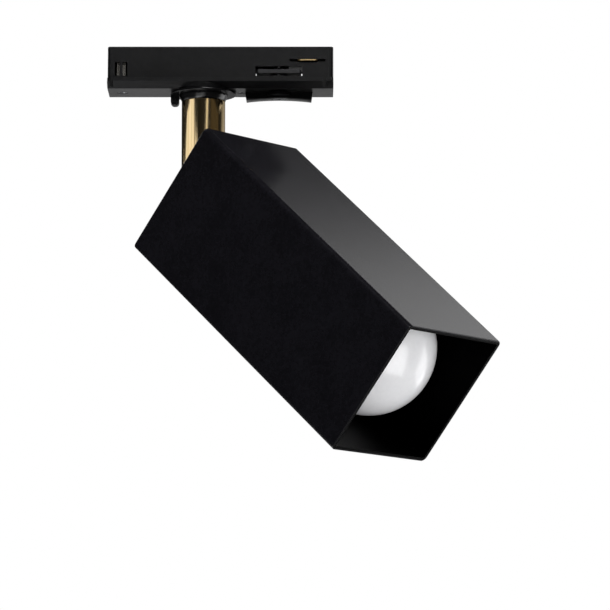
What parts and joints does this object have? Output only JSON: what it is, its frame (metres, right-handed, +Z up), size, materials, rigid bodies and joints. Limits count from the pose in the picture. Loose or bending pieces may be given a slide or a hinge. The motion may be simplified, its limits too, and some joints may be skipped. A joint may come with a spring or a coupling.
{
  "type": "track spotlight",
  "caption": "Black square-tube track spotlight with a globe lamp, hung by a brass swivel stem from a plug-in track adapter with a locking lever.",
  "frame": {"origin": "on the stem's vertical axis, in the plane of the flange's upper faces, which seat against the track", "axes": "+Z up, out of the track slot's mouth into the track; +X along the track towards the locking lever; +Y across the track"},
  "size_m": [0.1759, 0.1497, 0.1944],
  "materials": {
    "black_plastic": "fine moulded grain",
    "gloss_black_plastic": "smooth moulded",
    "black_powder_coat": "fine-texture matt powder coat on aluminium",
    "satin_brass": "satin, lacquered, drawn grain along the stem",
    "contact_brass": "bright stamped",
    "zinc_steel": "zinc plated",
    "black_steel": "blackened",
    "nickel": "nickel plated",
    "nylon": "natural nylon",
    "rubber": "matt",
    "brown_insulation": "satin",
    "blue_insulation": "satin",
    "green_insulation": "satin",
    "white_insulation": "satin",
    "black_bakelite": "polished",
    "ceramic_white": "unglazed steatite",
    "opal": "opal diffuser, satin",
    "lamp_white": "smooth",
    "black_glass": "vitrite, glossy",
    "led_board_white": "white solder mask"
  },
  "bodies": {
    "adapter": {"adapter_base": "black_plastic", "adapter_cover": "black_plastic", "adapter_screws": "zinc_steel", "swivel_bush": "contact_brass", "contact_block": "black_plastic", "earth_contact": "nickel", "live_lead": "brown_insulation", "neutral_lead": "blue_insulation", "earth_lead": "green_insulation", "live_contact_spring": "zinc_steel", "neutral_contact_spring": "zinc_steel"},
    "lever": {"locking_lever": "black_plastic", "lever_shaft": "zinc_steel", "locking_tongue": "black_plastic", "tongue_clip": "zinc_steel", "lever_screw": "zinc_steel"},
    "live_contact": {"live_contact": "contact_brass"},
    "neutral_contact": {"neutral_contact": "contact_brass"},
    "stem": {"swivel_disc": "gloss_black_plastic", "swivel_collar": "gloss_black_plastic", "hollow_nipple": "zinc_steel", "ring_nut": "zinc_steel", "spring_washer": "zinc_steel", "stem_plug": "zinc_steel", "stem_tube": "satin_brass", "stem_fork": "satin_brass", "grub_screw": "zinc_steel", "pivot_screw": "black_steel", "pivot_nut": "zinc_steel", "friction_washers": "nylon", "stem_leads": "white_insulation", "knuckle_sleeve": "rubber"},
    "head": {"head_tube": "black_powder_coat", "back_plate": "black_powder_coat", "corner_blocks": "zinc_steel", "back_plate_screws": "black_steel", "knuckle": "black_powder_coat", "knuckle_screws": "black_steel", "grommet": "rubber", "holder_bracket": "zinc_steel", "bracket_screws": "zinc_steel", "holder_nipple": "zinc_steel", "holder_nut": "zinc_steel", "holder_cap": "black_bakelite", "holder_core": "ceramic_white", "holder_sleeve": "black_bakelite", "thread_shell": "contact_brass", "centre_contact": "contact_brass", "head_leads": "white_insulation"},
    "lamp": {"lamp_globe": "opal", "lamp_body": "lamp_white", "lamp_cap": "nickel", "lamp_insulator": "black_glass", "lamp_tip": "nickel", "led_board": "led_board_white"}
  },
  "joints": [
    {"name": "pan", "type": "hinge", "parent": "adapter", "child": "stem", "pos_m": [0, 0, 0], "axis": [0, 0, 1], "range_deg": [-170, 170]},
    {"name": "tilt", "type": "hinge", "parent": "stem", "child": "head", "pos_m": [0, 0, -0.0471], "axis": [0.6334, 0.7738, 0], "range_deg": [-40.9, 49.1], "deforming": ["knuckle_sleeve"]},
    {"name": "lever_turn", "type": "hinge", "parent": "adapter", "child": "lever", "pos_m": [0.0347, 0, 0], "axis": [0, 0, 1], "range_deg": [0, 90]},
    {"name": "live_contact_press", "type": "slide", "parent": "adapter", "child": "live_contact", "axis": [0, 1, 0], "range_m": [0, 0.0012], "stiffness_N_per_m": 800, "springref_m": -0.001, "deforming": ["live_contact_spring"]},
    {"name": "neutral_contact_press", "type": "slide", "parent": "adapter", "child": "neutral_contact", "axis": [0, -1, 0], "range_m": [0, 0.0012], "stiffness_N_per_m": 800, "springref_m": -0.001, "deforming": ["neutral_contact_spring"]},
    {"name": "lamp_withdraw", "type": "slide", "parent": "head", "child": "lamp", "axis": [0.5849, -0.4787, -0.6547], "range_m": [0, 0.135]}
  ]
}
